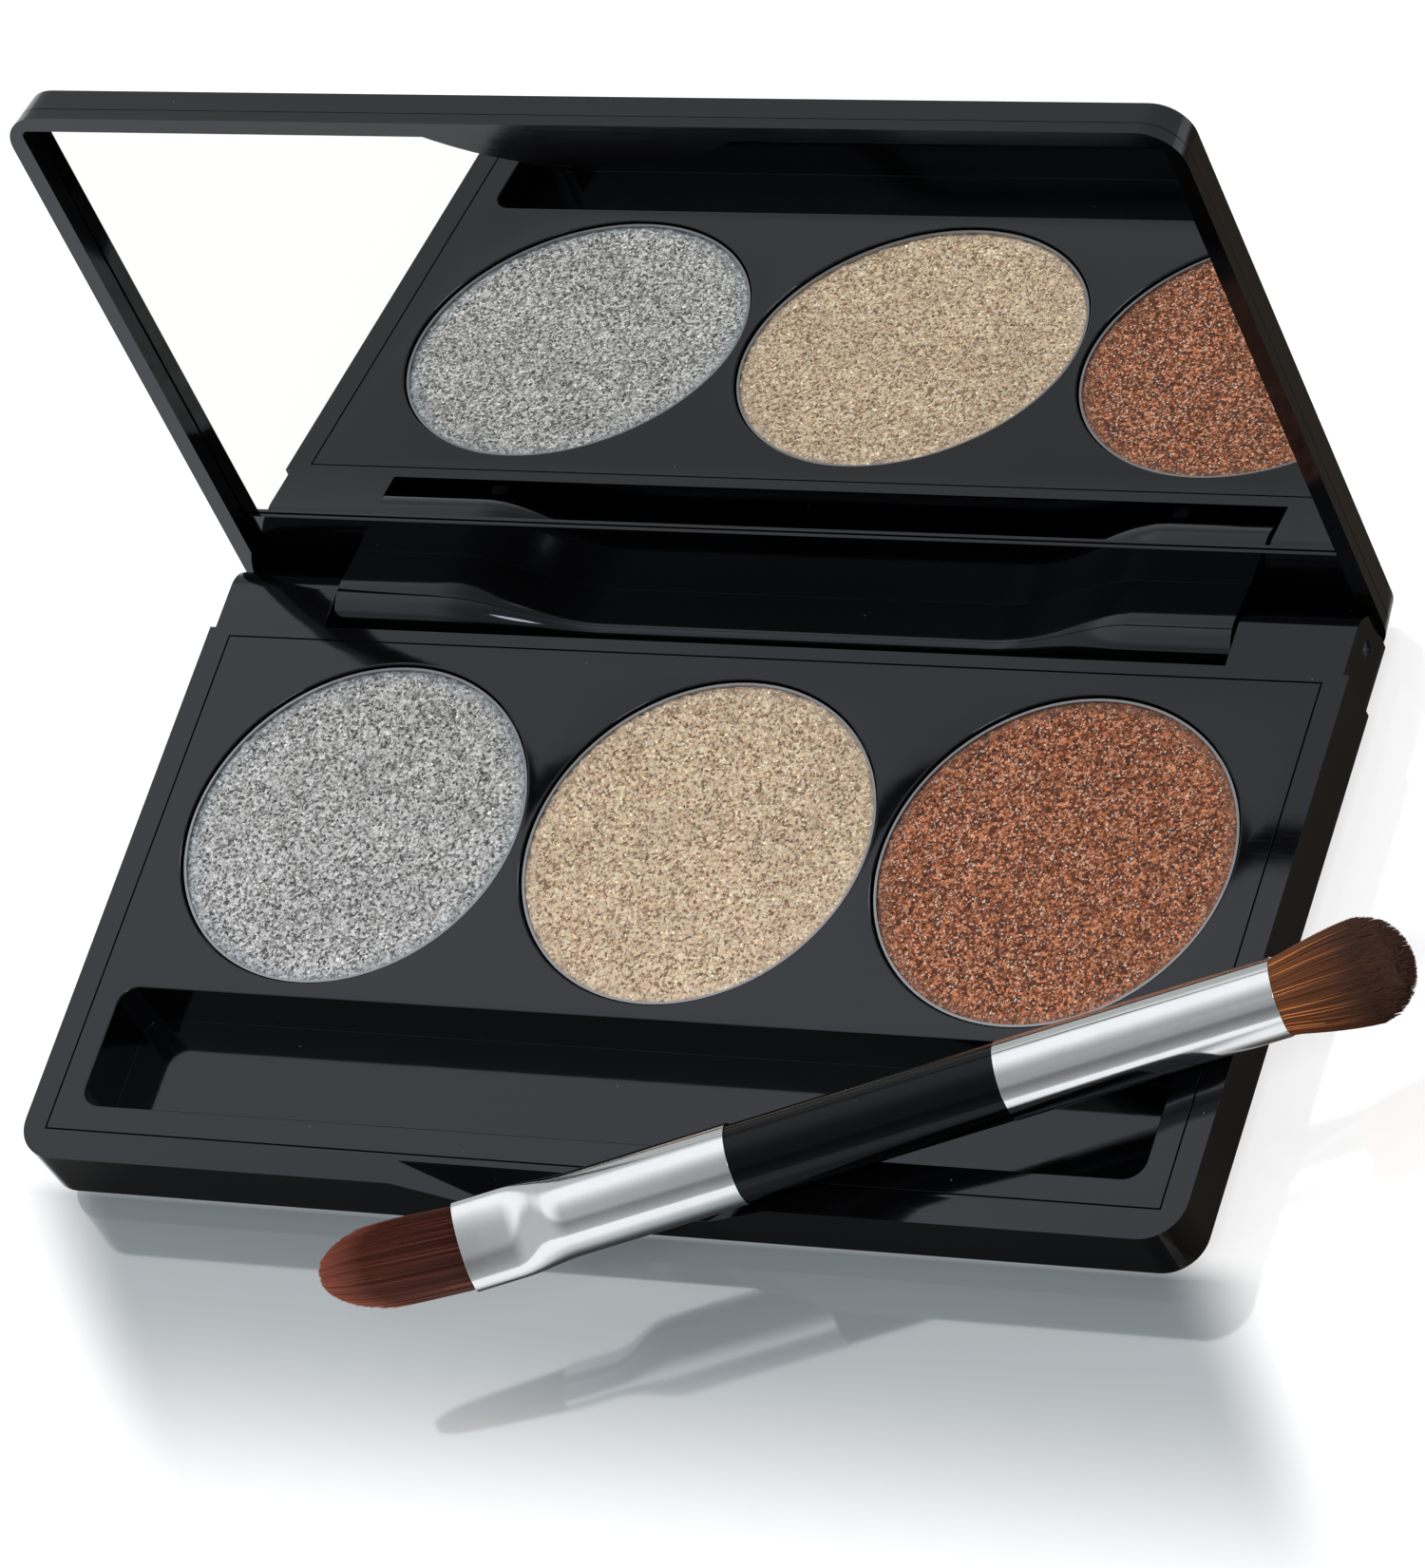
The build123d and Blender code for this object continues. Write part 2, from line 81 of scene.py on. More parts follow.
# ---------------------------------------------------------------- node helper
class Material:
    """A node material. add() makes a node, sets its inputs, and links those given as sockets."""

    def __init__(self, name, **values):
        self.data = bpy.data.materials.new(name)
        self.data.use_nodes = True
        self.tree = self.data.node_tree
        self.surface = self.tree.nodes["Principled BSDF"]
        self.set(self.surface, {key.replace("_", " "): value for key, value in values.items()})

    def set(self, node, inputs):
        for key, value in inputs.items():
            if isinstance(value, bpy.types.NodeSocket):
                self.tree.links.new(value, node.inputs[key])
            else:
                node.inputs[key].default_value = value

    def add(self, kind, inputs=None, output=0, **settings):
        node = self.tree.nodes.new("ShaderNode" + kind)
        for key, value in settings.items():
            setattr(node, key, value)
        self.set(node, inputs or {})
        return node.outputs[output]

    def place(self, stretch=(1, 1, 1)):
        """Object position in millimetres, stretched."""
        spot = self.add("TexCoord", output="Object")
        return self.add("Mapping", {"Vector": spot, "Scale": Vector(stretch) / MM})

    def noise(self, where, scale, detail, roughness=0.5):
        return self.add("TexNoise", {"Vector": where, "Scale": scale, "Detail": detail,
                                     "Roughness": roughness}, "Fac")

    def cells(self, where, scale, output="Color"):
        return self.add("TexVoronoi", {"Vector": where, "Scale": scale}, output)

    def math(self, operation, a, b=0.0):
        node = self.tree.nodes.new("ShaderNodeMath")
        node.operation = operation
        self.set(node, {0: a, 1: b})
        return node.outputs[0]

    def vector(self, operation, a, b=(0, 0, 0), output="Vector", scale=None):
        node = self.tree.nodes.new("ShaderNodeVectorMath")
        node.operation = operation
        self.set(node, {0: a, 1: b} if scale is None else {0: a, "Scale": scale})
        return node.outputs[output]

    def span(self, value, low, high, to_low=0.0, to_high=1.0, smooth=False):
        """value's range low..high mapped to to_low..to_high."""
        return self.add("MapRange", {"Value": value, "From Min": low, "From Max": high,
                                     "To Min": to_low, "To Max": to_high},
                        interpolation_type="SMOOTHSTEP" if smooth else "LINEAR")

    def ramp(self, value, *stops):
        """Colours along value: stops are (position, (r, g, b))."""
        node = self.tree.nodes.new("ShaderNodeValToRGB")
        band = node.color_ramp
        band.interpolation = "LINEAR"
        while len(band.elements) < len(stops):
            band.elements.new(0.5)
        for element, (position, colour) in zip(band.elements, stops):
            element.position, element.color = position, (*colour, 1)
        self.set(node, {"Fac": value})
        return node.outputs[0]

    def mix(self, factor, a, b, blend="MIX"):
        """Colour a turning to b."""
        node = self.tree.nodes.new("ShaderNodeMix")
        node.data_type, node.blend_type = "RGBA", blend
        for key, value in {0: factor, 6: a, 7: b}.items():
            self.set(node, {key: (*value, 1) if isinstance(value, tuple) else value})
        return node.outputs[2]

    def bump(self, height, distance, strength=1.0, normal=None):
        inputs = {"Height": height, "Distance": distance, "Strength": strength}
        if normal:
            inputs["Normal"] = normal
        return self.add("Bump", inputs)

    def finish(self, **inputs):
        self.set(self.surface, {key.replace("_", " "): value for key, value in inputs.items()})
        return self.data


# ---------------------------------------------------------------- stage and light
STAGE_SIZE = 3.0             # half the floor's width, metres
WORLD_BRIGHT = 1.12
WORLD_DARK = 0.36            # behind the camera
DARK_SIDE = 0.38, 0.92       # where the sky starts to darken, and where it's darkest
HORIZON = 0.5                # how much of the sky's light is left near the horizon
HORIZON_BAND = 0.52, 0.70    # the sky brightens between these heights
SKY_COLOUR = (0.985, 0.995, 1.0, 1)
FLOOR_WHITE = (0.42, 0.42, 0.42)
FLOOR_GLOW = (0.74, 0.74, 0.74)          # the floor is a lit white acrylic sheet
# painted shade: the floor's colour and glow in front of the palette, standing in for the palette's dark
# reflection
FLOOR_PAINTED_SHADE = (0.19, 0.205, 0.215)
PAINTED_SHADE_GLOW = (0.105, 0.125, 0.135)
# painted reflections: colours the floor takes only for reflected rays, so the casing's walls mirror black
# in front and brown to the right instead of the white floor
BLACK_PAINTED_REFLECTION = (0.012, 0.008, 0.006)
BROWN_PAINTED_REFLECTION = (0.09, 0.062, 0.03)
PAINTED_REFLECTION_STRENGTHS = 0.88, 0.96  # how far the painted black and the painted brown reflection hide the floor
PAINTED_REFLECTION_REACH = 9, 12           # millimetres a reflected ray runs before the painted reflections fade out
BLACK_PAINTED_REFLECTION_LEFT = -60, -44
BLACK_PAINTED_REFLECTION_FADE = 20, 40     # millimetres ahead of FLOOR_FRONT
BROWN_PAINTED_REFLECTION_LEFT = 42, 45
BROWN_PAINTED_REFLECTION_RIGHT = 90, 150
BROWN_PAINTED_REFLECTION_OPEN = 0, 10      # behind this, reflected rays of any length see the painted brown reflection
FLOOR_SHINE = 0.2
FLOOR_FRONT = -24.0          # the painted shade and the painted black reflection lie ahead of this
SHADE_SLANT = -0.7           # the painted shade drifts to the right as it comes forward
SHADE_HALF_WIDTH = 40, 50    # full, then gone
SHADE_FADE = 6, 30


def build_floor():
    """A plain white floor with a faint reflection and a soft grey painted shade in front of the palette,
    standing in for the palette's dark reflection. Reflected rays that meet the floor close by see a
    painted black reflection in front and a painted brown one to the right, and behind the middle of
    the palette all reflected rays see the painted brown one."""
    mesh = bpy.data.meshes.new("floor")
    s = STAGE_SIZE
    mesh.from_pydata([(-s, -s, 0), (s, -s, 0), (s, s, 0), (-s, s, 0)], [], [(0, 1, 2, 3)])
    plane = bpy.data.objects.new("floor", mesh)
    bpy.context.scene.collection.objects.link(plane)
    skin = Material("floor_white")
    x = skin.add("SeparateXYZ", {"Vector": skin.place()}, "X")
    y = x.node.outputs["Y"]
    ahead = skin.math("SUBTRACT", FLOOR_FRONT, y)
    shear = skin.math("MULTIPLY_ADD", ahead, SHADE_SLANT)
    skin.set(shear.node, {2: x})
    # painted shade: a soft grey patch ahead of the palette's front edge, fading forward and to the sides
    wide = skin.span(skin.math("ABSOLUTE", shear), *SHADE_HALF_WIDTH, 1, 0, True)
    shade = skin.math("MULTIPLY", wide, skin.span(ahead, *SHADE_FADE, 1, 0, True))
    shade = skin.math("MULTIPLY", shade, skin.span(ahead, -2, 0, 0, 1))
    # the floor's colour turns to the painted shade's grey
    colour = skin.mix(shade, FLOOR_WHITE, FLOOR_PAINTED_SHADE)
    # painted black reflection: reflected rays that meet the floor close by, ahead of the palette, see
    # black
    path = skin.add("LightPath", output="Is Glossy Ray")
    near_to, far_to = PAINTED_REFLECTION_REACH
    near = skin.span(path.node.outputs["Ray Length"], near_to * MM, far_to * MM, 1, 0)
    black, brown = (skin.math("MULTIPLY", path, strength) for strength in PAINTED_REFLECTION_STRENGTHS)
    front = skin.math("MULTIPLY", skin.span(ahead, 0, 1), skin.span(ahead, *BLACK_PAINTED_REFLECTION_FADE, 1, 0, True))
    front = skin.math("MULTIPLY", front, skin.span(x, *BLACK_PAINTED_REFLECTION_LEFT, 0, 1, True))
    front = skin.math("MULTIPLY", skin.math("MULTIPLY", front, near), black)
    # painted brown reflection to the right of the palette
    right = skin.math("MULTIPLY", skin.span(x, *BROWN_PAINTED_REFLECTION_LEFT),
                      skin.span(x, *BROWN_PAINTED_REFLECTION_RIGHT, 1, 0, True))
    right = skin.math("MULTIPLY", right, skin.math("MAXIMUM", near, skin.span(y, *BROWN_PAINTED_REFLECTION_OPEN)))
    right = skin.math("MULTIPLY", right, brown)
    colour = skin.mix(right, skin.mix(front, colour, BLACK_PAINTED_REFLECTION), BROWN_PAINTED_REFLECTION)
    # and its glow dims under the painted shade
    glow = skin.mix(shade, FLOOR_GLOW, PAINTED_SHADE_GLOW)
    # the floor's glow goes out under the painted reflections
    glow = skin.mix(skin.math("MAXIMUM", front, right), glow, (0.0, 0.0, 0.0))
    matt = skin.add("BsdfDiffuse", {"Color": colour})
    gloss = skin.add("BsdfGlossy", {"Color": (1, 1, 1, 1), "Roughness": 0.08})
    # and so does the floor's own gloss
    open_floor = skin.math("SUBTRACT", 1.0, skin.math("MAXIMUM", front, right))
    shine = skin.math("MULTIPLY", FLOOR_SHINE, open_floor)
    both = skin.add("MixShader", {"Fac": shine, 1: matt, 2: gloss})
    glow = skin.add("Emission", {"Color": glow, "Strength": 1.0})
    whole = skin.add("AddShader", {0: both, 1: glow})
    skin.tree.links.new(whole, skin.tree.nodes["Material Output"].inputs["Surface"])
    mesh.materials.append(skin.data)


def build_sky(forward):
    """An even white sky that is darker on the side where the photographer stands."""
    world = bpy.data.worlds.new("studio")
    bpy.context.scene.world = world
    world.use_nodes = True
    tree = world.node_tree
    spot = tree.nodes.new("ShaderNodeTexCoord").outputs["Generated"]

    def smooth_range(value, ends, low, high):
        node = tree.nodes.new("ShaderNodeMapRange")
        node.interpolation_type = "SMOOTHSTEP"
        for key, number in zip(("From Min", "From Max", "To Min", "To Max"), (*ends, low, high)):
            node.inputs[key].default_value = number
        tree.links.new(value, node.inputs["Value"])
        return node.outputs[0]
    facing = tree.nodes.new("ShaderNodeVectorMath")
    facing.operation = "DOT_PRODUCT"
    facing.inputs[1].default_value = -forward
    tree.links.new(spot, facing.inputs[0])
    height = tree.nodes.new("ShaderNodeSeparateXYZ")
    tree.links.new(spot, height.inputs[0])
    strength = tree.nodes.new("ShaderNodeMath")
    strength.operation = "MULTIPLY"
    level = smooth_range(facing.outputs["Value"], DARK_SIDE, WORLD_BRIGHT, WORLD_DARK)
    low = smooth_range(height.outputs["Z"], HORIZON_BAND, HORIZON, 1.0)
    tree.links.new(level, strength.inputs[0])
    tree.links.new(low, strength.inputs[1])
    background = tree.nodes["Background"]
    tree.links.new(strength.outputs[0], background.inputs["Strength"])
    background.inputs["Color"].default_value = SKY_COLOUR


def area_light(name, position, target, size, power):
    data = bpy.data.lights.new(name, "AREA")
    data.shape, data.size, data.size_y, data.energy = "RECTANGLE", size[0], size[1], power
    light = bpy.data.objects.new(name, data)
    bpy.context.scene.collection.objects.link(light)
    light.location = position
    light.rotation_euler = (Vector(target) - Vector(position)).to_track_quat("-Z", "Y").to_euler()


# ---------------------------------------------------------------- plastic, metal, glass
def scaled(colour, factor):
    return tuple(factor * channel for channel in colour)


GLOSS_TINT = (0.83, 0.885, 1.0, 1)       # the casing's reflections are slightly blue
GLOSS_ROUGHNESS = 0.05
DUST_SPACING = 0.55
DUST_COLOUR = (0.16, 0.16, 0.17)


def gloss_black(name, colour, ior=1.515):
    """Moulded high-gloss plastic: faint flow lines, wiping marks, and a little dust."""
    skin = Material(name, IOR=ior, Specular_Tint=GLOSS_TINT)
    where = skin.place()
    lines = skin.place((0.08, 2.2, 2.2))
    cloud = skin.noise(where, 0.09, 3)
    streak = skin.noise(lines, 2.5, 4, roughness=0.7)
    speck = skin.cells(where, DUST_SPACING, "Distance")
    chosen = skin.cells(where, DUST_SPACING, "Color")
    dust = skin.math("MULTIPLY", skin.math("LESS_THAN", speck, 0.028),
                     skin.math("GREATER_THAN", skin.add("SeparateColor", {"Color": chosen}), 0.72))
    shade = skin.ramp(cloud, (0.3, scaled(colour, 0.8)), (0.7, scaled(colour, 1.25)))
    dusty = skin.mix(dust, shade, DUST_COLOUR)
    rough = skin.math("ADD", skin.span(streak, 0.3, 0.75, GLOSS_ROUGHNESS, GLOSS_ROUGHNESS + 0.045),
                      skin.math("MULTIPLY", dust, 0.5))
    peel = skin.noise(where, 0.35, 2)
    normal = skin.bump(peel, 0.004 * MM, 0.6)
    normal = skin.bump(streak, 0.0006 * MM, 0.6, normal)
    return skin.finish(Base_Color=dusty, Roughness=rough, Normal=normal)


def metal(name, colour, roughness, stretch, marks=0.1):
    """Plated or drawn metal with fine grain, drawn out by stretch."""
    skin = Material(name, Metallic=1.0)
    lines = skin.place(stretch)
    grain = skin.noise(lines, 6.0, 4, roughness=0.7)
    cloud = skin.noise(skin.place(), 0.5, 3)
    shade = skin.ramp(cloud, (0.25, scaled(colour, 0.93)), (0.75, colour))
    rough = skin.span(grain, 0.3, 0.8, roughness, roughness + marks)
    normal = skin.bump(grain, 0.0008 * MM, 0.5)
    return skin.finish(Base_Color=shade, Roughness=rough, Normal=normal)


MIRROR_FACING = Vector((0, -0.992, 0.127))     # square to the open mirror
MIRROR_SILVER = (0.90, 0.90, 0.88)
GLASS_EDGE = (0.30, 0.36, 0.34)


def mirror_glass():
    """Silvered glass: a clean mirror on its face, green-grey ground glass on its edge."""
    skin = Material("mirror_glass")
    facing = skin.vector("DOT_PRODUCT", skin.add("TexCoord", output="Normal"), MIRROR_FACING, "Value")
    face = skin.math("GREATER_THAN", facing, 0.9)
    smear = skin.noise(skin.place((0.25, 1, 1)), 0.12, 4)
    colour = skin.mix(face, GLASS_EDGE, MIRROR_SILVER)
    rough = skin.math("ADD", skin.span(smear, 0.35, 0.8, 0.0, 0.012),
                      skin.math("MULTIPLY", skin.math("SUBTRACT", 1.0, face), 0.25))
    return skin.finish(Base_Color=colour, Metallic=skin.span(face, 0, 1, 0.6, 1.0), Roughness=rough)


def soft_fill(name, colour, rough=0.6, grain=3.0):
    """Adhesive, foam or resin, hardly ever seen: mottled and slightly uneven."""
    skin = Material(name)
    where = skin.place()
    mottle = skin.noise(where, grain, 4)
    shade = skin.ramp(mottle, (0.3, scaled(colour, 0.75)), (0.7, colour))
    uneven = skin.span(mottle, 0.2, 0.8, rough - 0.1, rough + 0.1)
    return skin.finish(Base_Color=shade, Roughness=uneven, Normal=skin.bump(mottle, 0.02 * MM, 0.5))


# ---------------------------------------------------------------- pressed powders
FLAKES = 4.8                 # flakes in a millimetre
SMALL_FLAKES = 1.9           # smaller flakes, as a multiple of that
FLAKE_TILT, SMALL_TILT = 0.8, 0.6
GREY = (0.5, 0.5, 0.5)


def pressed_powder(name, dark, middle, light, edge, sparkle):
    """Pressed glitter powder: each Voronoi cell is a flake with its own colour and tilt."""
    skin = Material(name)
    where = skin.place()
    flake = skin.cells(where, FLAKES)
    small = skin.cells(where, FLAKES * SMALL_FLAKES)
    pick = skin.add("SeparateColor", {"Color": flake}, "Red")
    pick_small = skin.add("SeparateColor", {"Color": small}, "Green")
    both = skin.math("ADD", skin.math("MULTIPLY", pick, 0.55), skin.math("MULTIPLY", pick_small, 0.45))
    shade = skin.ramp(both, (0.20, dark), (0.5, middle), (0.82, light))
    spark = skin.math("GREATER_THAN", pick_small, 0.93)
    shade = skin.mix(spark, shade, sparkle)
    cloud = skin.noise(where, 0.16, 3)
    patches = skin.ramp(cloud, (0.3, (0.9, 0.9, 0.9)), (0.7, (1.07, 1.07, 1.07)))
    shade = skin.mix(1.0, shade, patches, "MULTIPLY")
    ring = skin.add("Attribute", output="Fac", attribute_name="edge")
    shade = skin.mix(skin.math("MULTIPLY", ring, 0.55), shade, edge)
    tilt = skin.vector("ADD", skin.vector("SCALE", skin.vector("SUBTRACT", flake, GREY), scale=FLAKE_TILT),
                       skin.vector("SCALE", skin.vector("SUBTRACT", small, GREY), scale=SMALL_TILT))
    normal = skin.vector("NORMALIZE", skin.vector("ADD", skin.add("NewGeometry", output="Normal"), tilt))
    return skin.finish(Base_Color=shade, Metallic=skin.span(pick, 0.3, 0.9, 0.15, 0.75),
                       Roughness=skin.span(pick_small, 0, 1, 0.28, 0.6), Normal=normal)


POWDER_RINGS = 112
POWDER_SEGMENTS = 560
GRAIN_HEIGHT = 0.045
POWDER_EDGE = 1.1            # width of the crumbled edge
CHAMPAGNE_WEAVE = 0.012      # faint cloth print left by the press


def powder_cake(node, weave, seed):
    """A closed cake: grainy pressed top, a slightly crumbled edge, plain side and bottom."""
    low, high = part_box(node)
    centre = (low + high) / 2
    radius = (high.x - low.x) / 2
    top = high.z - GRAIN_HEIGHT * MM
    shift = Vector((seed * 7.31, seed * 3.17, seed))
    points, faces, edge = [Vector((centre.x, centre.y, top))], [], [0.0]
    for ring in range(1, POWDER_RINGS + 1):
        r = radius * ring / POWDER_RINGS
        near = max(0.0, 1 - (radius - r) / (POWDER_EDGE * MM))
        for step in range(POWDER_SEGMENTS):
            angle = 2 * pi * (step + 0.5 * (ring % 2)) / POWDER_SEGMENTS
            x, y = r * cos(angle), r * sin(angle)
            at = Vector((x, y, 0)) / MM + shift
            grain = noise.noise(at * 3.4) * 0.6 + noise.noise(at * 7.5) * 0.4
            dish = 0.03 * noise.noise(at * 0.22)
            press = weave * (sin(at.x * 9) + sin(at.y * 9)) * 0.5
            crumble = near ** 3 * (0.10 + 0.10 * noise.noise(at * 1.7))
            z = top + MM * (GRAIN_HEIGHT * max(-1, min(1, grain * 1.6)) + dish * 0.4 + press - crumble)
            points.append(Vector((centre.x + x, centre.y + y, min(z, high.z))))
            edge.append(near)
    for step in range(POWDER_SEGMENTS):
        faces.append((0, 1 + step, 1 + (step + 1) % POWDER_SEGMENTS))
    for ring in range(1, POWDER_RINGS):
        inner, outer = 1 + (ring - 1) * POWDER_SEGMENTS, 1 + ring * POWDER_SEGMENTS
        for step in range(POWDER_SEGMENTS):
            after = (step + 1) % POWDER_SEGMENTS
            faces.append((inner + step, outer + step, outer + after, inner + after))
    rim, foot = 1 + (POWDER_RINGS - 1) * POWDER_SEGMENTS, len(points)
    for step in range(POWDER_SEGMENTS):
        above = points[rim + step]
        points.append(Vector((above.x, above.y, low.z)))
        edge.append(1.0)
    for step in range(POWDER_SEGMENTS):
        after = (step + 1) % POWDER_SEGMENTS
        faces.append((rim + step, foot + step, foot + after, rim + after))
    faces.append(tuple(foot + step for step in reversed(range(POWDER_SEGMENTS))))
    mesh = bpy.data.meshes.new(node + "_cake")
    mesh.from_pydata(points, [], faces)
    mesh.attributes.new("edge", "FLOAT", "POINT").data.foreach_set("value", edge)
    return add_piece(mesh, node + "_cake", "base", node, node)


# ---------------------------------------------------------------- pieces
def add_piece(mesh, name, body, slot, *replaced):
    piece = bpy.data.objects.new(name, mesh)
    bpy.context.scene.collection.objects.link(piece)
    if replaced:
        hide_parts(*replaced)
    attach(piece, body)
    return piece


# ---------------------------------------------------------------- brush hairs
HEADING = radians(23.55)
ROLL = radians(36.6)
HANDLE_MIDDLE = 39.75        # millimetres from the flat tip
ALONG = Vector((cos(HEADING), sin(HEADING), 0))
LEVEL = Vector((-sin(HEADING), cos(HEADING), 0))
ACROSS = cos(ROLL) * LEVEL + sin(ROLL) * Vector((0, 0, 1))
ABOVE = cos(ROLL) * Vector((0, 0, 1)) - sin(ROLL) * LEVEL
BRUSH_MIDDLE = sum(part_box("brush_handle"), Vector()) / 2
STATIONS = 9                 # points along a hair
ROOT_DEPTH = 1.2             # hairs and outlines start this far inside the ferrule
CORE_RINGS = 12
CORE_ANGLES = [2 * pi * step / 24 for step in range(24)]


def brush_point(s, y, z):
    """A point s from the flat tip along the brush, y across its flat end and z above it, in mm."""
    return BRUSH_MIDDLE + MM * ((s - HANDLE_MIDDLE) * ALONG + y * ACROSS + z * ABOVE)


class Tuft:
    """Hairs as thin three-sided tapering tubes round a dark core, all in one mesh.
    The core is painted shade: it takes the darkest hair tone, standing in for the shaded hairs deep in the
    tuft.
    """

    def __init__(self):
        self.points, self.faces, self.shade, self.along = [], [], [], []

    def hair(self, path, radius, tip, shade):
        """path is points in metres from root to tip."""
        start, last = len(self.points), len(path) - 1
        for index, spot in enumerate(path):
            ahead = path[min(index + 1, last)] - path[max(index - 1, 0)]
            side = ahead.cross(Vector((0.3, 0.2, 1))).normalized()
            over = side.cross(ahead).normalized()
            f = index / last
            r = radius * (1 - f) + tip * f
            for turn in range(3):
                angle = 2 * pi * turn / 3
                self.points.append(spot + r * (cos(angle) * side + sin(angle) * over))
                self.shade.append(shade)
                self.along.append(f)
        for index in range(last):
            for turn in range(3):
                a, b = start + 3 * index + turn, start + 3 * index + (turn + 1) % 3
                self.faces.append((a, b, b + 3, a + 3))
        end = start + 3 * last
        self.faces += [(start + 2, start + 1, start), (end, end + 1, end + 2)]

    def core(self, rings):
        """A closed body through rings of points."""
        start, size = len(self.points), len(rings[0])
        for ring in rings:
            self.points += ring
            # the core takes the darkest hair tone: painted shade standing in for the shaded inner hairs
            self.shade += [0.0] * size
            self.along += [0.3] * size
        for index in range(len(rings) - 1):
            for step in range(size):
                a, b = start + index * size + step, start + index * size + (step + 1) % size
                self.faces.append((a, b, b + size, a + size))
        self.faces.append(tuple(reversed(range(start, start + size))))
        self.faces.append(tuple(range(start + (len(rings) - 1) * size, start + len(rings) * size)))

    def build(self, name, body, slot, node):
        mesh = bpy.data.meshes.new(name)
        mesh.from_pydata(self.points, [], self.faces)
        mesh.attributes.new("shade", "FLOAT", "POINT").data.foreach_set("value", self.shade)
        mesh.attributes.new("along", "FLOAT", "POINT").data.foreach_set("value", self.along)
        return add_piece(mesh, name, body, slot, node)


FLAT_MOUTH = 10.7
FLAT_LEAN = 0.08             # sideways for each millimetre from the ferrule
FLAT_HALF_WIDTH = 2.86
FLAT_BELLY = 7.5             # where the outline starts to round off
FLAT_TIP = 0.5
FLAT_BULGE = 0.17
FLAT_HALF_THICKNESS = 1.16
FLAT_TIP_THICKNESS = 0.14
FLAT_HAIRS = 2800
FLAT_HAIR_RADII = 0.05 * MM, 0.018 * MM


def flat_width(s):
    """Half width of the filbert head, s from its tip."""
    if s >= FLAT_BELLY:
        part = (s - FLAT_BELLY) / (FLAT_MOUTH + ROOT_DEPTH - FLAT_BELLY)
        return FLAT_HALF_WIDTH + FLAT_BULGE * cos(pi / 2 * part)
    part = min(1.0, (FLAT_BELLY - s) / (FLAT_BELLY - FLAT_TIP))
    return (FLAT_HALF_WIDTH + FLAT_BULGE) * (1 - part ** 2.3) ** 0.5


def flat_lean(s):
    """How far the head's middle line has moved sideways, s from its tip."""
    return FLAT_LEAN * max(0.0, FLAT_MOUTH - s)


def flat_thickness(s):
    """Half thickness of the filbert head, s from its tip."""
    part = min(1.0, max(0.0, s) / FLAT_MOUTH) ** 0.8
    return FLAT_TIP_THICKNESS + (FLAT_HALF_THICKNESS - FLAT_TIP_THICKNESS) * part


def flat_tuft():
    """Filbert head: nearly parallel filaments that end along a rounded outline."""
    tuft = Tuft()
    root = FLAT_MOUTH + ROOT_DEPTH
    for _ in range(FLAT_HAIRS):
        angle = random.uniform(0, 2 * pi)
        ring = 1 - 0.45 * random.random() ** 2.2
        u, v = ring * cos(angle), ring * sin(angle)
        goal = abs(u) * FLAT_HALF_WIDTH / (2 - abs(u))
        tip = FLAT_MOUTH
        while tip > FLAT_TIP and flat_width(tip) > goal:
            tip -= 0.1
        tip += random.uniform(0.0, 0.35) + 0.5 * (1 - ring) ** 2
        drift, lift = random.gauss(0, 0.05), random.gauss(0, 0.03)
        path = []
        for index in range(STATIONS):
            f = index / (STATIONS - 1)
            s = root + (tip - root) * f
            y = u * 0.5 * (FLAT_HALF_WIDTH + flat_width(s)) + drift * f * f
            z = v * flat_thickness(s) + lift * f * f
            path.append(brush_point(s, y * 0.985 + flat_lean(s), z))
        tuft.hair(path, *FLAT_HAIR_RADII, random.random())
    rings = []
    for index in range(CORE_RINGS):
        s = FLAT_MOUTH + 1.0 - (FLAT_MOUTH - 0.4) * index / (CORE_RINGS - 1)
        w, t = 0.86 * flat_width(s), 0.8 * flat_thickness(s)
        rings.append([brush_point(s, w * cos(a) + flat_lean(s), t * sin(a)) for a in CORE_ANGLES])
    tuft.core(rings)
    return tuft.build("flat_hairs", "brush", "synthetic_bristle", "flat_bristles")


ROUND_MOUTH = 68.4
ROUND_RADIUS = 2.45
ROUND_LENGTH = 9.15
ROUND_WIDEST = 5.8           # from the mouth
ROUND_MAX_RADIUS = 3.48
ROUND_HAIRS = 4600
ROUND_HAIR_RADII = 0.042 * MM, 0.014 * MM


def round_outline(x):
    """Radius of the domed head, x from the ferrule's mouth."""
    if x <= ROUND_WIDEST:
        rise = sin(pi / 2 * max(0.0, x) / ROUND_WIDEST)
        return ROUND_RADIUS + (ROUND_MAX_RADIUS - ROUND_RADIUS) * rise
    part = (x - ROUND_WIDEST) / (ROUND_LENGTH - ROUND_WIDEST)
    return ROUND_MAX_RADIUS * max(0.0, 1 - part ** 2.3) ** 0.5


def fan_radius(x):
    """Radius at which the outermost hair runs, if it didn't end at the dome."""
    rise = min(1.0, max(0.0, x) / (1.25 * ROUND_WIDEST))
    return ROUND_RADIUS + 1.03 * (ROUND_MAX_RADIUS - ROUND_RADIUS) * sin(pi / 2 * rise)


